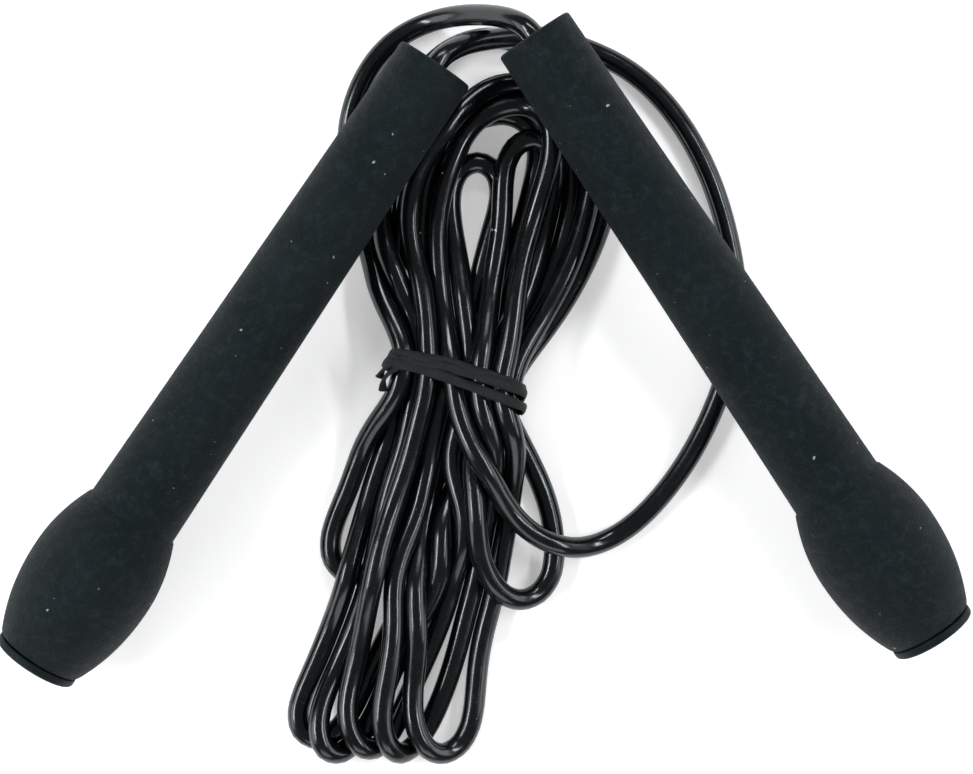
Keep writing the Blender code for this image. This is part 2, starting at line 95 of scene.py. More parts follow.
# The rope's way through the hank, in millimetres, from the left nose to the right one
LEFT_LEAD = [
    (-9, 74, 24), (-3, 77, 19), (8, 79, 13), (21, 77, 7.5), (28, 76, 5), (33, 74, 3), (42, 67, 2.5),
    (52, 54, 2.5), (59, 39, 2.5), (61, 30, 2.5), (63, 20, 2.5), (64, 10, 2.5), (62, -1, 2.5),
    (55, -20, 2.5), (49, -30, 2.5), (42, -38, 2.5), (35, -45, 3.5), (27, -48, 6), (20, -49, 8.5),
    (13, -46, 10.5), (7, -42, 12), (3, -36, 12.5), (-4, -22, 13), (-6, -15, 12.5),
]
PASSES = [
    [
        (-7, -7, 12), (-10, 13, 11.5), (-12, 33, 11), (-12, 41, 11), (-10, 47, 11.5), (-8, 53, 11.5),
        (-5, 57, 11), (-1, 61, 10.5), (3, 63, 10.5), (7, 64, 10.5), (11, 64, 10), (14, 61, 10), (15, 57, 10),
        (15, 50, 10), (13, 34, 11), (9, 16, 12), (6, -4, 12),
    ],
    [
        (5, -13, 11), (2, -34, 7), (1, -44, 6), (-1, -64, 6), (-3, -85, 4.5), (-5, -94, 3), (-8, -101, 2.5),
        (-11, -103, 2.5), (-15, -100, 3), (-17, -95, 5), (-18, -78, 8.5), (-17, -68, 9.5), (-16, -58, 9.5),
        (-14, -49, 8), (-8, -31, 3), (-4, -13, 2.5),
    ],
    [
        (-3, -5, 3), (-1, 2, 2.5), (6, 21, 2.5), (11, 39, 2.5), (13, 48, 2.5), (13, 55, 2.5), (11, 61, 2.5),
        (7, 64, 2.5), (1, 63, 2.5), (-9, 56, 2.5), (-13, 50, 2.5), (-17, 43, 2.5), (-23, 27, 2.5),
        (-24, 17, 3), (-24, 9, 4), (-22, -7, 7),
    ],
    [
        (-23, -14, 6), (-27, -31, 8), (-32, -51, 8), (-36, -62, 6.5), (-42, -83, 2.5), (-44, -90, 2.5),
        (-44, -96, 2.5), (-41, -100, 2.5), (-37, -100, 2.5), (-34, -96, 2.5), (-30, -87, 2.5),
        (-20, -69, 2.5), (-15, -59, 2.5), (-9, -49, 2.5), (-2, -29, 3), (5, -14, 6),
    ],
    [
        (8, -8, 7.5), (11, -1, 8.5), (14, 7, 9), (22, 24, 9), (27, 41, 8.5), (28, 50, 8), (26, 57, 7.5),
        (22, 62, 7), (16, 65, 7), (10, 67, 7.5), (5, 66, 8), (0, 65, 8.5), (-8, 58, 9.5), (-15, 47, 10.5),
        (-19, 41, 11), (-20, 34, 11), (-19, 26, 11.5), (-15, 7, 12), (-14, -2, 12),
    ],
    [
        (-15, -13, 12), (-20, -29, 12), (-26, -46, 12), (-30, -64, 11), (-33, -84, 9), (-34, -92, 8),
        (-34, -98, 6), (-33, -101, 4), (-30, -100, 3), (-26, -96, 2.5), (-18, -83, 2.5), (-10, -67, 2.5),
        (-8, -59, 2.5), (-6, -50, 3), (-5, -32, 5), (-4, -14, 7),
    ],
    [
        (-4, -5, 7.5), (-5, 6, 7.5), (-7, 26, 7.5), (-7, 42, 7.5), (-6, 47, 7.5), (-3, 50, 7.5),
        (0, 51, 7.5), (2, 49, 7.5), (3, 44, 7), (2, 37, 7), (-2, 19, 6), (-8, 2, 6.5),
    ],
    [
        (-10, -7, 7.5), (-13, -23, 11.5), (-14, -32, 12), (-18, -49, 12), (-22, -69, 11), (-24, -79, 10),
        (-26, -96, 8), (-26, -100, 5.5), (-23, -102, 3.5), (-20, -100, 2.5), (-13, -90, 2.5), (-7, -77, 2.5),
        (-3, -61, 2.5), (-1, -43, 3.5), (0, -25, 7), (0, -15, 10),
    ],
    [
        (0, -5, 12), (1, 15, 12), (5, 33, 12), (6, 41, 11.5), (7, 52, 9.5), (9, 55, 8.5), (12, 56, 7.5),
        (15, 53, 7), (17, 49, 6.5), (17, 36, 6.5), (14, 20, 7), (11, 12, 7), (5, -2, 7),
    ],
    [
        (3, -9, 7.5), (-4, -29, 9.5), (-4, -37, 10), (-3, -45, 10), (-1, -52, 9), (3, -59, 7), (9, -63, 4.5),
        (15, -61, 3), (18, -55, 2.5), (18, -47, 2.5), (17, -39, 2.5), (14, -30, 2.5), (8, -17, 2.5),
    ],
    [
        (7, -8, 3), (10, -1, 3), (20, 14, 2.5), (28, 31, 2.5), (30, 40, 2.5), (31, 48, 2.5), (30, 57, 2.5),
        (27, 65, 2.5), (22, 71, 2.5), (16, 76, 2.5), (9, 79, 2.5), (3, 80, 2.5), (-3, 79, 2.5),
        (-9, 77, 2.5), (-14, 73, 2.5), (-18, 67, 2.5), (-21, 61, 2.5), (-25, 44, 3.5), (-26, 35, 4.5),
        (-24, 26, 6), (-19, 8, 7.5), (-18, 0, 7.5),
    ],
    [
        (-17, -8, 7.5), (-20, -22, 9), (-25, -39, 9.5), (-29, -57, 9), (-36, -76, 8), (-42, -92, 6.5),
        (-42, -99, 5), (-39, -102, 3.5), (-36, -102, 3), (-33, -97, 4.5), (-27, -82, 6), (-23, -74, 6.5),
        (-13, -56, 5.5), (-9, -47, 4.5), (-5, -37, 3.5), (-1, -18, 2.5),
    ],
    [
        (2, -9, 3), (5, 0, 2.5), (14, 17, 2.5), (21, 35, 2.5), (22, 44, 3), (21, 52, 3.5), (18, 59, 4),
        (12, 63, 5), (6, 65, 5.5), (0, 63, 5.5), (-5, 60, 6), (-10, 56, 6), (-13, 50, 6.5), (-16, 43, 7),
        (-17, 36, 7), (-16, 26, 7), (-12, 7, 7), (-11, -2, 5),
    ],
    [
        (-10, -9, 3), (-14, -19, 3), (-18, -29, 2.5), (-22, -37, 2.5), (-25, -45, 2.5), (-27, -53, 2.5),
        (-30, -58, 2.5), (-34, -58, 2.5), (-37, -53, 2.5), (-37, -47, 2.5), (-35, -38, 2.5), (-31, -30, 3),
        (-26, -20, 6), (-22, -13, 9),
    ],
]
RIGHT_LEAD = [
    (-20, -6, 12), (-20, 2, 11.5), (-24, 18, 8), (-30, 32, 3.5), (-33, 39, 2.5), (-34, 47, 2.5),
    (-35, 54, 2.5), (-33, 62, 2.5), (-30, 69, 2.5), (-27, 75, 2.5), (-23, 79, 3), (-19, 82, 4),
    (-15, 83, 6.5), (-11, 84, 10), (-2, 84, 17.5), (5, 82, 25), (8, 81, 27),
]


def place_camera():
    """Straight above the hank, 650 mm up, with a long lens."""
    camera = bpy.data.cameras.new("overhead")
    camera.lens = CAMERA_LENS
    camera.sensor_width = 36.0
    camera.clip_start = 0.05
    holder = bpy.data.objects.new("overhead", camera)
    bpy.context.scene.collection.objects.link(holder)
    holder.location = CAMERA_PLACE
    bpy.context.scene.camera = holder


# Handles' axes and outline, which the rope lies against


def handle_axes(side):
    """Nose centre in millimetres and the unit vector out of the nose."""
    facts = HANDLES[side]
    splay = math.radians(facts["splay"])
    lean = math.radians(facts["lean"])
    flat = math.cos(lean)
    outwards = (math.sin(splay) * flat, math.cos(splay) * flat, math.sin(lean))
    return np.array(facts["nose"]), np.array(outwards)


def handle_radius(along):
    """Outer radius of the moulding at each distance behind the nose face."""
    along = np.asarray(along, float)
    grip_part = np.clip(along / NECK_START, 0, 1)
    radius = NOSE_RADIUS + (NECK_RADIUS - NOSE_RADIUS) * grip_part**1.15
    shoulder = NECK_RADIUS + 0.3
    swell = np.clip((BULB_WIDEST - along) / (BULB_WIDEST - NECK_START), 0, 1)
    radius = np.where(along > NECK_START, shoulder + (BULB_RADIUS - shoulder) * (1 - swell**2), radius)
    fall = np.clip((along - BULB_WIDEST) / (SHELL_LENGTH - BULB_WIDEST), 0, 1)
    return np.where(along > BULB_WIDEST, BULB_RADIUS - (BULB_RADIUS - BUTT_RADIUS) * fall**2.2, radius)


# Rope


def evenly_spaced(points, spacing):
    lengths = np.linalg.norm(np.diff(points, axis=0), axis=1)
    travelled = np.concatenate([[0.0], np.cumsum(lengths)])
    count = int(round(travelled[-1] / spacing))
    wanted = np.linspace(0.0, travelled[-1], count + 1)
    return np.stack([np.interp(wanted, travelled, points[:, axis]) for axis in range(3)], axis=1)


def smooth_through(knots, spacing):
    """Evenly spaced points on the centripetal Catmull-Rom curve through the knots."""
    knots = np.asarray(knots, float)
    knots = np.vstack([2 * knots[0] - knots[1], knots, 2 * knots[-1] - knots[-2]])
    stretches = []
    for index in range(1, len(knots) - 2):
        a, b, c, d = knots[index - 1 : index + 3]
        ta = 0.0
        tb = ta + np.linalg.norm(b - a) ** 0.5
        tc = tb + np.linalg.norm(c - b) ** 0.5
        td = tc + np.linalg.norm(d - c) ** 0.5
        t = np.linspace(tb, tc, 13)[:-1, None]
        ab = a + (b - a) * (t - ta) / (tb - ta)
        bc = b + (c - b) * (t - tb) / (tc - tb)
        cd = c + (d - c) * (t - tc) / (td - tc)
        abc = ab + (bc - ab) * (t - ta) / (tc - ta)
        bcd = bc + (cd - bc) * (t - tb) / (td - tb)
        stretches.append(abc + (bcd - abc) * (t - tb) / (tc - tb))
    stretches.append(knots[-2:-1])
    return evenly_spaced(np.vstack(stretches), spacing)


def straighter(points):
    """How far each point but two at either end is from a smooth line through its neighbours."""
    return (4 * (points[1:-3] + points[3:-1]) - (points[:-4] + points[4:])) / 6 - points[2:-2]


def eased(points, held):
    """Takes the small wiggles out of a given line and leaves its folds."""
    points = points.copy()
    for _ in range(EASING_ROUNDS):
        bend = straighter(points)
        bend[:held] = 0.0
        bend[-held:] = 0.0
        points[2:-2] += EASING_SHARE * bend
    return evenly_spaced(points, ROPE_STEP)


def rope_knots():
    """The whole way, with a straight run out of each nose."""
    left_nose, left_out = handle_axes("left")
    right_nose, right_out = handle_axes("right")
    depths = (-INSIDE_HANDLE, -INSIDE_HANDLE / 2, 0.0, STRAIGHT_OUT)
    knots = [left_nose + left_out * depth for depth in depths]
    knots += [np.array(point, float) for point in LEFT_LEAD]
    for one_pass in PASSES:
        knots += [np.array(point, float) for point in one_pass]
    knots += [np.array(point, float) for point in RIGHT_LEAD]
    knots += [right_nose + right_out * depth for depth in reversed(depths)]
    return knots


def near_pairs(points, reach, apart):
    squares = (points**2).sum(axis=1)
    distances = squares[:, None] + squares[None, :] - 2 * points @ points.T
    first, second = np.nonzero(distances < reach**2)
    keep = second - first > apart
    return first[keep], second[keep]


def keep_off_handles(points, free):
    for side in HANDLES:
        nose, outwards = handle_axes(side)
        offset = points - nose
        along = -(offset @ outwards)
        across = offset + along[:, None] * outwards
        distance = np.linalg.norm(across, axis=1)
        needed = handle_radius(along) + ROPE_RADIUS + 0.15
        pressed = (along > -2.0) & (along < SHELL_LENGTH + 5) & (distance < needed) & free
        push = (needed[pressed] - distance[pressed]) / np.maximum(distance[pressed], 1e-6)
        points[pressed] += across[pressed] * push[:, None]


def squeeze_waist(points):
    """The tie holds every pass inside its width and under its top."""
    turn = math.radians(TIE_TURN)
    across = np.array([math.cos(turn), math.sin(turn)])
    along = np.array([-across[1], across[0]])
    offset = points[:, :2] - np.array(TIE_CENTRE)
    sideways = offset @ across
    lengthways = np.abs(offset @ along)
    limit = WAIST_HALF_WIDTH - ROPE_RADIUS + 4 * np.clip((lengthways - 5) / 6, 0, 1)
    outside = (lengthways < 11) & (np.abs(sideways) > limit) & (np.abs(sideways) < 30)
    shift = (limit[outside] - np.abs(sideways[outside])) * np.sign(sideways[outside])
    points[outside, :2] += shift[:, None] * across
    high = (lengthways < 8) & (np.abs(sideways) < 20) & (points[:, 2] > WAIST_TOP - ROPE_RADIUS)
    points[high, 2] = WAIST_TOP - ROPE_RADIUS
    raised = ROPE_RADIUS + FLOOR_SPARE + TIE_UNDER * np.clip((16 - lengthways) / 9, 0, 1)
    low = (lengthways < 16) & (np.abs(sideways) < 20) & (points[:, 2] < raised)
    points[low, 2] = raised[low]


def hold_lengths(points, free):
    """Each step of the rope goes back to its own length; even and odd steps take turns."""
    for first in (0, 1):
        here = np.arange(first, len(points) - 1, 2)
        step = points[here + 1] - points[here]
        length = np.linalg.norm(step, axis=1)
        stretch = ((length - ROPE_STEP) / np.maximum(length, 1e-6))[:, None] * step
        both = free[here] & free[here + 1]
        here_share = np.where(both, 0.5, free[here].astype(float))[:, None]
        next_share = np.where(both, 0.5, free[here + 1].astype(float))[:, None]
        points[here] += here_share * stretch
        points[here + 1] -= next_share * stretch


def push_apart(points, free, pairs):
    first, second = pairs
    gap = points[second] - points[first]
    distance = np.linalg.norm(gap, axis=1)
    wanted = 2 * ROPE_RADIUS + TOUCHING_SPARE
    touching = distance < wanted
    first, second, gap, distance = first[touching], second[touching], gap[touching], distance[touching]
    push = PUSH_SHARE * ((wanted - distance) / np.maximum(distance, 1e-6))[:, None] * gap
    moves = np.zeros_like(points)
    hits = np.zeros(len(points))
    np.add.at(moves, first, -push)
    np.add.at(moves, second, push)
    np.add.at(hits, first, 1)
    np.add.at(hits, second, 1)
    points[free] += (moves / np.maximum(1, hits / 2)[:, None])[free]


def settle(route, rounds):
    """The rope comes to rest: stiff, heavy, of fixed length, and lying on itself and the floor."""
    points = route.copy()
    held = int(round((INSIDE_HANDLE + STRAIGHT_OUT) / ROPE_STEP))
    free = np.ones(len(points), bool)
    free[:held] = False
    free[-held:] = False
    for turn in range(rounds):
        guide = np.array(ROUTE_PULL) * (1.0 - ROUTE_PULL_LOST * turn / rounds)
        if turn % 8 == 0:
            pairs = near_pairs(points, 2 * ROPE_RADIUS + PAIR_REACH, NEXT_ALONG)
        for _ in range(BENDS_A_ROUND):
            bend = np.zeros_like(points)
            bend[2:-2] = straighter(points)
            points[free] += BEND_SHARE * bend[free]
        points[free] += ((route - points) * guide)[free]
        points[free, 2] -= WEIGHT
        for _ in range(3):
            hold_lengths(points, free)
            push_apart(points, free, pairs)
            squeeze_waist(points)
            keep_off_handles(points, free)
            points[:, 2] = np.maximum(points[:, 2], ROPE_RADIUS + FLOOR_SPARE)
    return points


def carried_frames(path, facing):
    """Two side vectors along the path, carried without twist; the second starts out facing so."""
    ahead = np.gradient(path, axis=0)
    ahead /= np.linalg.norm(ahead, axis=1)[:, None]
    side = np.cross(facing, ahead[0])
    sides = []
    for direction in ahead:
        side = side - direction * (side @ direction)
        side = side / np.linalg.norm(side)
        sides.append(side)
    sides = np.array(sides)
    return sides, np.cross(ahead, sides)


def tube(name, path, section, facing=(0.0, 0.0, 1.0)):
    """A mesh tube whose section may differ from ring to ring; U goes round it, V along it in metres."""
    sides, ups = carried_frames(path, facing)
    rings, around = len(path), section.shape[-2]
    section = np.broadcast_to(section, (rings, around, 2))
    points = path[:, None, :] + section[..., :1] * sides[:, None, :] + section[..., 1:] * ups[:, None, :]
    vertices = points.reshape(-1, 3).tolist()
    travelled = np.concatenate([[0.0], np.cumsum(np.linalg.norm(np.diff(path, axis=0), axis=1))])
    faces, uvs = [], []
    for ring in range(rings - 1):
        for spoke in range(around):
            following = (spoke + 1) % around
            a, b = ring * around, (ring + 1) * around
            faces.append((a + spoke, a + following, b + following, b + spoke))
            left, right = spoke / around, (spoke + 1) / around
            low, high = travelled[ring], travelled[ring + 1]
            uvs += [(left, low), (right, low), (right, high), (left, high)]
    for ring, direction in ((0, -1), (rings - 1, 1)):
        centre = len(vertices)
        vertices.append(path[ring].tolist())
        for spoke in range(around):
            edge = (ring * around + spoke, ring * around + (spoke + 1) % around)
            faces.append((centre, *edge[::direction]))
            uvs += [(0.5, travelled[ring])] * 3
    mesh = bpy.data.meshes.new(name)
    mesh.from_pydata(vertices, [], faces)
    layer = mesh.uv_layers.new(name="UVMap")
    layer.data.foreach_set("uv", np.array(uvs, np.float32).reshape(-1))
    mesh.polygons.foreach_set("use_smooth", [True] * len(faces))
    mesh.update()
    piece = bpy.data.objects.new(name, mesh)
    bpy.context.scene.collection.objects.link(piece)
    return piece


def round_section(radius, sides):
    angles = np.arange(sides) * 2 * math.pi / sides
    return np.stack([np.cos(angles), np.sin(angles)], axis=1) * radius


def settled_path():
    """The rope's centreline in metres."""
    rounds = SETTLE_ROUNDS
    laid = smooth_through(rope_knots(), ROPE_STEP)
    settled = settle(eased(laid, int((INSIDE_HANDLE + STRAIGHT_OUT) / ROPE_STEP)), rounds)
    path = smooth_through(np.vstack([settled[:-1:2], settled[-1:]]), ROPE_RING_SPACING)
    path[:, 2] = np.maximum(path[:, 2], ROPE_RADIUS + FLOOR_SPARE)
    return path * MM


# Modelling by hand


def start_from(kind, **settings):
    """A new primitive at its size and place, alone selected, in edit mode."""
    bpy.ops.object.select_all(action="DESELECT")
    add = getattr(bpy.ops.mesh, "primitive_" + kind + "_add")
    add(**settings)
    bpy.ops.object.mode_set(mode="EDIT")
    bpy.ops.mesh.select_mode(type="EDGE")
    return bpy.context.object


def finish_shape(piece, name, place=None):
    """Closes seams, turns every face outwards, and leaves the piece's place in its mesh."""
    bpy.ops.mesh.select_all(action="SELECT")
    bpy.ops.mesh.remove_doubles(threshold=2e-6)
    bpy.ops.mesh.normals_make_consistent(inside=False)
    bpy.ops.object.mode_set(mode="OBJECT")
    piece.name = name
    piece.data.name = name
    bpy.ops.object.transform_apply(location=True, rotation=True, scale=True)
    if place is not None:
        piece.matrix_world = place
        bpy.ops.object.transform_apply(location=True, rotation=True, scale=True)
    bpy.ops.object.shade_smooth_by_angle(angle=math.radians(32))
    return piece


def turned(name, profile, place, steps=HANDLE_STEPS):
    """A ring drawn out and scaled along a profile of (radius, height) in metres; zero closes an end."""
    radius, height = profile[0]
    piece = start_from(
        "circle", vertices=steps, radius=max(radius, 1e-5), fill_type="NOTHING", location=(0.0, 0.0, height)
    )
    bpy.ops.mesh.select_all(action="SELECT")
    if radius == 0.0:
        radius = 1e-5
    for next_radius, next_height in profile[1:]:
        bpy.ops.mesh.extrude_edges_move(
            TRANSFORM_OT_translate={"value": (0.0, 0.0, next_height - height)}
        )
        shrunk = max(next_radius, 1e-5) / radius
        bpy.ops.transform.resize(value=(shrunk, shrunk, 1.0), center_override=(0.0, 0.0, next_height))
        radius, height = max(next_radius, 1e-5), next_height
    return finish_shape(piece, name, place)


def rounded_corner(centre_radius, centre_height, radius, first, last, segments):
    points = []
    for step in range(segments + 1):
        angle = math.radians(first + (last - first) * step / segments)
        points.append((centre_radius + radius * math.cos(angle), centre_height + radius * math.sin(angle)))
    return points


# Handles and their plugs


def handle_place(side):
    """Stands a piece turned about Z on the handle's axis, with Z out of the nose."""
    nose, outwards = handle_axes(side)
    out = Vector(outwards)
    sideways = out.cross(Vector((0.0, 0.0, 1.0))).normalized()
    turn = Matrix((sideways, out.cross(sideways), out)).transposed().to_4x4()
    return Matrix.Translation(Vector(nose) * MM) @ turn


def moulding_profile():
    """From the mouth of the nose's bore, down the outside, round the butt and back up the hollow core."""
    bore, wall, rounding = 3.2, 4.0, 0.9
    profile = [(bore, -wall), (bore, -0.45), (bore + 0.15, -0.15), (bore + 0.45, 0.0)]
    profile += [(6.2, 0.0), (NOSE_RADIUS - rounding - 0.4, 0.0)]
    profile += rounded_corner(NOSE_RADIUS - rounding, -rounding, rounding, 90, 0, 7)
    profile += [(float(handle_radius(along)), -along) for along in range(6, 134, 6)]
    profile += [(float(handle_radius(along)), -along) for along in (133.2, 134.0, 134.5, 135.2)]
    bulb = np.linspace(136.4, SHELL_LENGTH - 0.8, 32)
    profile += [(float(handle_radius(along)), -along) for along in bulb]
    profile += [(BUTT_RADIUS - 0.05, -SHELL_LENGTH + 0.1), (BUTT_RADIUS - 0.35, -SHELL_LENGTH - 0.12)]
    profile += [(BUTT_RADIUS - 0.8, -SHELL_LENGTH - 0.2), (9.4, -SHELL_LENGTH - 0.1)]
    profile += [(8.6, -SHELL_LENGTH + 0.3)]
    profile += [(8.45, -SHELL_LENGTH + 14.0), (7.6, -wall), (bore, -wall)]
    return [(radius * MM, height * MM) for radius, height in profile]


def plug_profile():
    """A rounded disc with a shallow dish and a raised gate mark, on a hollow spigot with a bead."""
    under = -(SHELL_LENGTH + 0.6)
    outer = under - 2.2
    tip = -(SHELL_LENGTH - 13.0)
    profile = [(0.0, under + 0.4), (6.4, under + 1.0), (6.4, tip), (7.5, tip), (7.8, tip - 0.5)]
    profile += [(7.8, tip - 2.2), (8.0, tip - 2.5), (8.2, tip - 3.0), (8.0, tip - 3.5), (7.8, tip - 3.8)]
    profile += [(7.8, under + 0.2), (8.0, under)]
    profile += rounded_corner(10.9 - 0.4, under - 0.4, 0.4, 90, 0, 4)
    profile += rounded_corner(10.9 - 0.9, outer + 0.9, 0.9, 0, -90, 7)
    profile += [(9.2, outer), (8.5, outer + 0.02), (8.1, outer + 0.12), (7.8, outer + 0.28)]
    profile += [(7.3, outer + 0.38)]
    profile += [(6.0, outer + 0.4), (3.2, outer + 0.4), (1.5, outer + 0.4), (1.3, outer + 0.36)]
    profile += [(1.1, outer + 0.24), (0.8, outer + 0.2), (0.0, outer + 0.2)]
    return [(radius * MM, height * MM) for radius, height in profile]


# The tie: flat paper-covered twists wound round the waist, and their twisted tails


def waist_loop(along, slope, bow, lift, points=120):
    """One closed turn round the waist: it slopes down to the right and bows up over the top."""
    half, top, corner = WAIST_HALF_WIDTH + 0.6 + lift, WAIST_TOP + 0.6 + lift, 6.0
    bottom = 0.75
    outline = rounded_corner(half - corner, top - corner, corner, 0, 90, 8)
    outline += rounded_corner(corner - half, top - corner, corner, 90, 180, 8)
    outline += rounded_corner(corner - half, bottom + corner, corner, 180, 270, 8)
    outline += rounded_corner(half - corner, bottom + corner, corner, 270, 360, 8)
    knots = np.array([(x, 0.0, z) for x, z in outline + outline[:1]])
    loop = evenly_spaced(knots, np.linalg.norm(np.diff(knots, axis=0), axis=1).sum() / points)
    turn = np.linspace(0, 2 * math.pi, len(loop))
    loop[:, 1] = along - slope * np.cos(turn) + bow * np.sin(turn)
    return loop


def beside_tie(points):
    """From the tie's own axes, across and along the hank, into place."""
    turn = math.radians(TIE_TURN)
    across = np.array([math.cos(turn), math.sin(turn), 0.0])
    lengthways = np.array([-math.sin(turn), math.cos(turn), 0.0])
    centre = np.array([*TIE_CENTRE, 0.0])
    up = np.array([0.0, 0.0, 1.0])
    return centre + points[:, :1] * across + points[:, 1:2] * lengthways + points[:, 2:] * up


def ribbon(name, path, width, twists, waves, facing=(0.0, 0.0, 1.0)):
    """A flat round-edged ribbon, twisting and rocking along its path; its width starts across facing."""
    share = np.linspace(0.0, 1.0, len(path))
    turn = 2 * math.pi * twists * share + RIBBON_ROCKING * np.sin(2 * math.pi * waves * share)
    angles = np.arange(RIBBON_SIDES) * 2 * math.pi / RIBBON_SIDES
    flat = np.stack([np.cos(angles) * width / 2, np.sin(angles) * RIBBON_THICKNESS / 2], axis=1)
    cos, sin = np.cos(turn)[:, None], np.sin(turn)[:, None]
    section = np.stack([flat[:, 0] * cos - flat[:, 1] * sin, flat[:, 0] * sin + flat[:, 1] * cos], axis=2)
    return tube(name, path * MM, section * MM, facing)


def wind_tie():
    """Three flat turns that cross on the hank's back, and two short twisted tails at its left side."""
    turn = math.radians(TIE_TURN)
    outwards = (math.cos(turn), math.sin(turn), 0.0)
    windings = ((2.3, 1.1, 2.3, 0.0), (-0.9, 2.4, 1.9, 0.9), (1.0, 0.8, 2.3, 0.45))
    pieces = []
    for number, (along, slope, bow, lift) in enumerate(windings, start=1):
        loop = beside_tie(waist_loop(along, slope, bow, lift))
        pieces.append(ribbon(f"tie_winding_{number}", loop, WINDING_WIDTH, 0, 7, outwards))
    edge, top = -WAIST_HALF_WIDTH, WAIST_TOP
    upper = [(edge + 2.1, 3.4, top + 0.6), (edge, 1.6, top - 0.4), (edge - 1.6, -0.2, top - 2.4)]
    upper += [(edge - 2.2, -1.9, top - 4.6)]
    lower = [(edge + 2.6, 2.0, top + 0.9), (edge + 0.2, -0.4, top - 0.4), (edge - 1.0, -2.8, top - 2.6)]
    lower += [(edge - 0.8, -5.0, top - 4.8)]
    for number, knots in enumerate((upper, lower), start=1):
        path = beside_tie(smooth_through(np.array(knots), 0.25))
        pieces.append(ribbon(f"tie_tail_{number}", path, TAIL_WIDTH, 0.4, 1))
    return pieces


# Finishes


def finish_named(name, **settings):
    """A material and its Principled shader, with the shader's sockets set by name."""
    material = bpy.data.materials.new(name)
    material.use_nodes = True
    shader = material.node_tree.nodes["Principled BSDF"]
    for socket, value in settings.items():
        shader.inputs[socket.replace("_", " ")].default_value = value
    return material, shader


def node(tree, kind, **settings):
    made = tree.nodes.new("ShaderNode" + kind)
    for name, value in settings.items():
        setattr(made, name, value)
    return made


def placed(tree, stretch=(1.0, 1.0, 1.0), turn=(0.0, 0.0, 0.0)):
    """The piece's own coordinates in metres, stretched and turned."""
    coordinates = node(tree, "TexCoord")
    mapping = node(tree, "Mapping", vector_type="POINT")
    mapping.inputs["Scale"].default_value = stretch
    mapping.inputs["Rotation"].default_value = turn
    tree.links.new(coordinates.outputs["Object"], mapping.inputs["Vector"])
    return mapping.outputs["Vector"]


def round_the_rope(tree, radius, along=1.0):
    """Seamless coordinates from the UV map: round the section, then along the length."""
    uv = node(tree, "UVMap", uv_map="UVMap")
    parts = node(tree, "SeparateXYZ")
    tree.links.new(uv.outputs["UV"], parts.inputs["Vector"])
    turn = node(tree, "Math", operation="MULTIPLY")
    turn.inputs[1].default_value = 2 * math.pi
    tree.links.new(parts.outputs["X"], turn.inputs[0])
    combined = node(tree, "CombineXYZ")
    for axis, operation in (("X", "COSINE"), ("Y", "SINE")):
        wave = node(tree, "Math", operation=operation)
        tree.links.new(turn.outputs[0], wave.inputs[0])
        size = node(tree, "Math", operation="MULTIPLY")
        size.inputs[1].default_value = radius
        tree.links.new(wave.outputs[0], size.inputs[0])
        tree.links.new(size.outputs[0], combined.inputs[axis])
    length = node(tree, "Math", operation="MULTIPLY")
    length.inputs[1].default_value = along
    tree.links.new(parts.outputs["Y"], length.inputs[0])
    tree.links.new(length.outputs[0], combined.inputs["Z"])
    return combined.outputs["Vector"]


def noise(tree, vector, scale, detail=3.0, roughness=0.5, distortion=0.0):
    made = node(tree, "TexNoise")
    made.inputs["Scale"].default_value = scale
    made.inputs["Detail"].default_value = detail
    made.inputs["Roughness"].default_value = roughness
    made.inputs["Distortion"].default_value = distortion
    tree.links.new(vector, made.inputs["Vector"])
    return made.outputs["Fac"]


def cells(tree, vector, scale, feature="F1"):
    made = node(tree, "TexVoronoi", feature=feature)
    made.inputs["Scale"].default_value = scale
    tree.links.new(vector, made.inputs["Vector"])
    return made.outputs["Distance"]


def ranged(tree, value, low, high, to_low, to_high):
    made = node(tree, "MapRange")
    for name, number in (("From Min", low), ("From Max", high), ("To Min", to_low), ("To Max", to_high)):
        made.inputs[name].default_value = number
    tree.links.new(value, made.inputs["Value"])
    return made.outputs["Result"]


def combined(tree, operation, first, second):
    made = node(tree, "Math", operation=operation)
    for socket, value in zip(made.inputs, (first, second)):
        if isinstance(value, float):
            socket.default_value = value
        else:
            tree.links.new(value, socket)
    return made.outputs[0]


def between(tree, factor, first, second):
    """A colour between two others; either may be a socket."""
    made = node(tree, "Mix", data_type="RGBA")
    tree.links.new(factor, made.inputs["Factor"])
    sockets = [socket for socket in made.inputs if socket.type == "RGBA"]
    for socket, colour in zip(sockets, (first, second)):
        if isinstance(colour, tuple):
            socket.default_value = (*colour, 1.0)
        else:
            tree.links.new(colour, socket)
    return next(socket for socket in made.outputs if socket.type == "RGBA")


def bumped(tree, height, distance, strength=1.0, under=None):
    made = node(tree, "Bump")
    made.inputs["Distance"].default_value = distance
    made.inputs["Strength"].default_value = strength
    tree.links.new(height, made.inputs["Height"])
    if under is not None:
        tree.links.new(under, made.inputs["Normal"])
    return made.outputs["Normal"]


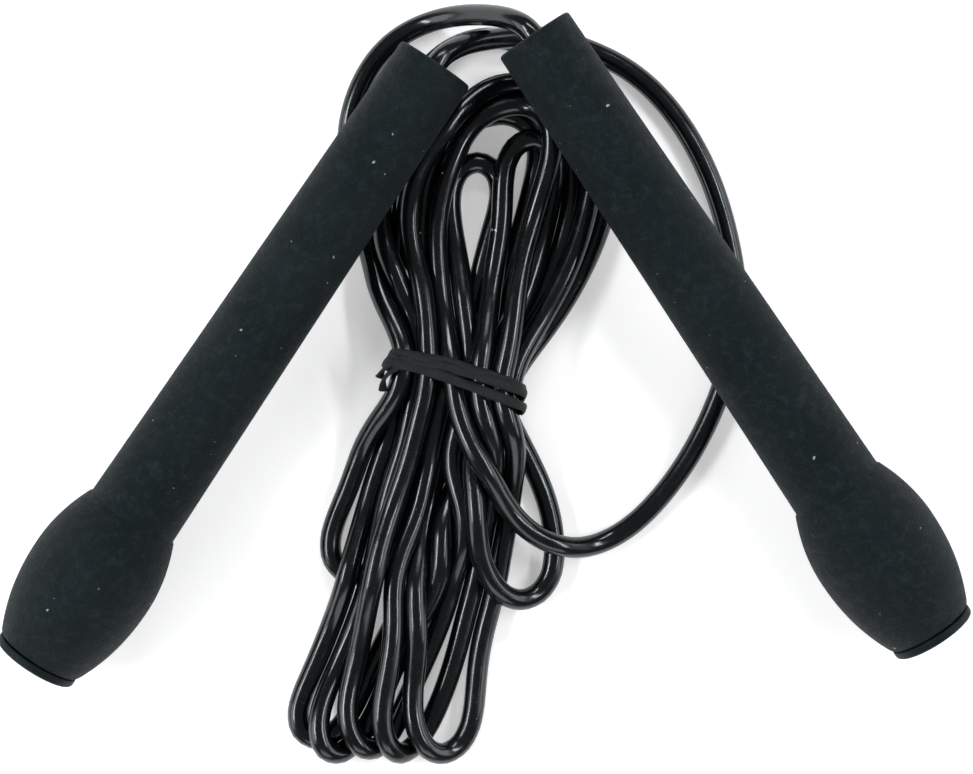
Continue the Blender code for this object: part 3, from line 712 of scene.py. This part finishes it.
def moulded_grip(name, dark, pale, grain_depth, roughness):
    """Matt soft moulding: a fine pebbled grain with painted shade in its pits, cloudy tone, rubbed patches
    and a few specks of dust.
    """
    material, shader = finish_named(
        name,
        Specular_IOR_Level=0.16,
        Specular_Tint=(0.66, 0.92, 1.0, 1.0),
        Sheen_Weight=0.015,
        Sheen_Roughness=0.5,
    )
    tree = material.node_tree
    plain = placed(tree)
    clouds = noise(tree, plain, 42.0, 4.0, 0.55)
    grain = cells(tree, plain, 2300.0)
    fine = noise(tree, plain, 4200.0, 2.0, 0.6)
    rubbed = noise(tree, plain, 420.0, 6.0, 0.75, 0.6)
    tone = between(tree, ranged(tree, clouds, 0.35, 0.68, 0.0, 1.0), dark, pale)
    worn = between(tree, ranged(tree, rubbed, 0.50, 0.72, 0.0, 0.8), tone, tuple(2.2 * c for c in pale))
    # Painted shade: the grain's cell centres are darkened towards near-black, standing in for shade in the
    # pits of the grain.
    painted_pit_shade = between(tree, ranged(tree, grain, 0.05, 0.55, 0.45, 0.0), worn, (0.002, 0.003, 0.004))
    specks = ranged(tree, noise(tree, plain, 620.0, 2.0, 0.4), 0.765, 0.80, 0.0, 0.75)
    dusty = between(tree, specks, painted_pit_shade, (0.42, 0.43, 0.43))
    tree.links.new(dusty, shader.inputs["Base Color"])
    sheen = ranged(tree, rubbed, 0.35, 0.75, roughness + 0.07, roughness - 0.08)
    tree.links.new(sheen, shader.inputs["Roughness"])
    pebbled = bumped(tree, ranged(tree, grain, 0.0, 0.6, 1.0, 0.0), grain_depth)
    scuffed = bumped(tree, fine, grain_depth * 0.6, 1.0, pebbled)
    waved = bumped(tree, noise(tree, plain, 95.0, 2.0), 0.00012, 0.6, scuffed)
    tree.links.new(waved, shader.inputs["Normal"])
    return material


def gloss_rope(name):
    """Extruded PVC: long faint drag lines, slow ripples in the gloss, scuffs and a little lint."""
    material, shader = finish_named(
        name, IOR=1.48, Specular_Tint=(0.86, 0.95, 1.0, 1.0), Coat_Weight=0.12, Coat_Roughness=0.05
    )
    tree = material.node_tree
    drawn = round_the_rope(tree, ROPE_RADIUS * MM, 0.04)
    even = round_the_rope(tree, ROPE_RADIUS * MM)
    tone = between(tree, noise(tree, even, 70.0, 3.0), (0.0016, 0.0019, 0.0024), (0.0042, 0.0048, 0.0058))
    scuffs = ranged(tree, noise(tree, even, 900.0, 5.0, 0.75, 0.8), 0.60, 0.80, 0.0, 0.6)
    scuffed = between(tree, scuffs, tone, (0.030, 0.032, 0.034))
    lint = ranged(tree, noise(tree, even, 520.0, 2.0, 0.4), 0.785, 0.81, 0.0, 0.8)
    tree.links.new(between(tree, lint, scuffed, (0.45, 0.46, 0.46)), shader.inputs["Base Color"])
    gloss = combined(tree, "ADD", ranged(tree, noise(tree, even, 300.0, 4.0), 0.3, 0.8, 0.13, 0.27), scuffs)
    tree.links.new(gloss, shader.inputs["Roughness"])
    lines = bumped(tree, noise(tree, drawn, 2600.0, 2.0, 0.5), 0.00003, 0.8)
    ripples = bumped(tree, noise(tree, even, 90.0, 2.0, 0.5), 0.00016, 0.45, lines)
    tree.links.new(ripples, shader.inputs["Normal"])
    return material


def crinkled_tie(name):
    """Matt twist tie: cross creases, paler wear along the creases, and fine ribs repeating along its length.
    """
    material, shader = finish_named(name, Specular_IOR_Level=0.20)
    tree = material.node_tree
    plain = placed(tree)
    creases = noise(tree, plain, 900.0, 4.0, 0.65, 1.2)
    tone = between(tree, noise(tree, plain, 240.0, 3.0), (0.005, 0.007, 0.008), (0.014, 0.018, 0.019))
    worn = between(tree, ranged(tree, creases, 0.62, 0.80, 0.0, 0.6), tone, (0.040, 0.046, 0.048))
    tree.links.new(worn, shader.inputs["Base Color"])
    tree.links.new(ranged(tree, creases, 0.3, 0.8, 0.72, 0.45), shader.inputs["Roughness"])
    uv = node(tree, "UVMap", uv_map="UVMap")
    ribs = node(tree, "TexWave", wave_type="BANDS", bands_direction="Y")
    ribs.inputs["Scale"].default_value = 380.0
    ribs.inputs["Distortion"].default_value = 2.5
    tree.links.new(uv.outputs["UV"], ribs.inputs["Vector"])
    folded = bumped(tree, creases, 0.00025, 0.8)
    tree.links.new(bumped(tree, ribs.outputs["Fac"], 0.00006, 0.6, folded), shader.inputs["Normal"])
    return material


def zinc_steel(name):
    """Bright zinc plating with a turned grain and dull spots."""
    material, shader = finish_named(name, Metallic=1.0)
    tree = material.node_tree
    plain = placed(tree)
    spots = noise(tree, plain, 1400.0, 5.0, 0.6)
    tone = between(tree, spots, (0.50, 0.51, 0.52), (0.66, 0.66, 0.65))
    tree.links.new(tone, shader.inputs["Base Color"])
    tree.links.new(ranged(tree, spots, 0.3, 0.8, 0.26, 0.48), shader.inputs["Roughness"])
    turned_lines = noise(tree, placed(tree, (1.0, 1.0, 9.0)), 2600.0, 2.0)
    tree.links.new(bumped(tree, turned_lines, 0.00002), shader.inputs["Normal"])
    return material


def dress(piece, material):
    piece.data.materials.clear()
    piece.data.materials.append(material)


# Putting it together


def dress_node(piece, material):
    """A new finish in a frame part's own slot."""
    for slot in piece.material_slots:
        slot.material = material


def make_rope(material):
    path = settled_path()
    rope = tube("rope", path, round_section(ROPE_RADIUS * MM, ROPE_SIDES))
    dress(rope, material)
    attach(rope, "rope")
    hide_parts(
        "rope_left_lead",
        "rope_right_lead",
        "rope_top_loop",
        "rope_left_loop",
        "rope_right_loop",
        "rope_upper_hank",
        "rope_lower_hank",
    )
    return rope, path


def make_tie(material):
    pieces = wind_tie()
    for piece in pieces:
        dress(piece, material)
        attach(piece, "rope")
    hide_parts("bundle_tie")
    return pieces


def make_handle(side, grip, plug):
    place = handle_place(side)
    moulding = turned(side + "_grip", moulding_profile(), place)
    dress(moulding, grip)
    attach(moulding, side + "_handle")
    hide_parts(side + "_handle_shell")
    cap = turned(side + "_plug", plug_profile(), place)
    dress(cap, plug)
    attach(cap, side + "_cap")
    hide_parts(side + "_end_cap")


def soft_box(name, place, aim, size, radiance):
    """A rectangular light of even brightness, turned to face a point."""
    light = bpy.data.lights.new(name, "AREA")
    light.shape = "RECTANGLE"
    light.size, light.size_y = size
    light.energy = radiance * math.pi * size[0] * size[1]
    holder = bpy.data.objects.new(name, light)
    bpy.context.scene.collection.objects.link(holder)
    holder.location = place
    holder.rotation_euler = (Vector(aim) - Vector(place)).to_track_quat("-Z", "Y").to_euler()


def light_the_table():
    world = bpy.data.worlds.new("studio")
    world.use_nodes = True
    background = world.node_tree.nodes["Background"]
    background.inputs["Color"].default_value = (0.96, 0.98, 1.0, 1.0)
    background.inputs["Strength"].default_value = 0.16
    bpy.context.scene.world = world
    middle = (0.0, 0.0, 0.0)
    soft_box("left_strip", (-0.85, 0.05, 0.80), middle, (0.80, 0.14), 22.0)
    soft_box("right_strip", (0.80, 0.15, 0.95), middle, (0.80, 0.12), 20.0)
    soft_box("back_strip", (0.10, 0.95, 0.85), middle, (0.60, 0.16), 14.0)
    soft_box("left_wall", (-1.2, -0.1, 0.45), middle, (1.2, 0.6), 3.0)
    soft_box("right_wall", (1.2, 0.1, 0.45), middle, (1.2, 0.6), 3.0)
    soft_box("front_fill", (0.0, -1.2, 0.7), middle, (1.2, 0.6), 2.2)


def lay_floor():
    bpy.ops.object.select_all(action="DESELECT")
    bpy.ops.mesh.primitive_plane_add(size=6.0, location=(0.0, 0.0, 0.0))
    floor = bpy.context.object
    floor.name = "floor"
    material, shader = finish_named(
        "white_sweep",
        Roughness=0.85,
        Specular_IOR_Level=0.1,
        Emission_Color=(1.0, 1.0, 1.0, 1.0),
        Emission_Strength=0.34,
    )
    tree = material.node_tree
    tone = between(tree, noise(tree, placed(tree), 6.0, 2.0), (0.93, 0.93, 0.93), (0.95, 0.95, 0.95))
    tree.links.new(tone, shader.inputs["Base Color"])
    dress(floor, material)


def build():
    bpy.context.scene.view_settings.view_transform = "Standard"
    place_camera()
    rope, path = make_rope(gloss_rope("black_gloss_pvc"))
    tie = make_tie(crinkled_tie("black_twist_tie"))
    grip = moulded_grip(
        "black_soft_grip", (0.0030, 0.0050, 0.0058), (0.0068, 0.0096, 0.0106), 0.00016, 0.66
    )
    plug = moulded_grip(
        "black_smooth_plug", (0.0028, 0.0044, 0.0052), (0.0056, 0.0078, 0.0086), 0.00004, 0.56
    )
    for side in HANDLES:
        make_handle(side, grip, plug)
    steel = zinc_steel("zinc_steel")
    for side in HANDLES:
        for fitting in ("_stop_washer", "_crimp_ferrule"):
            piece = bpy.data.objects[side + fitting]
            dress_node(piece, steel)
    lay_floor()
    light_the_table()


build()
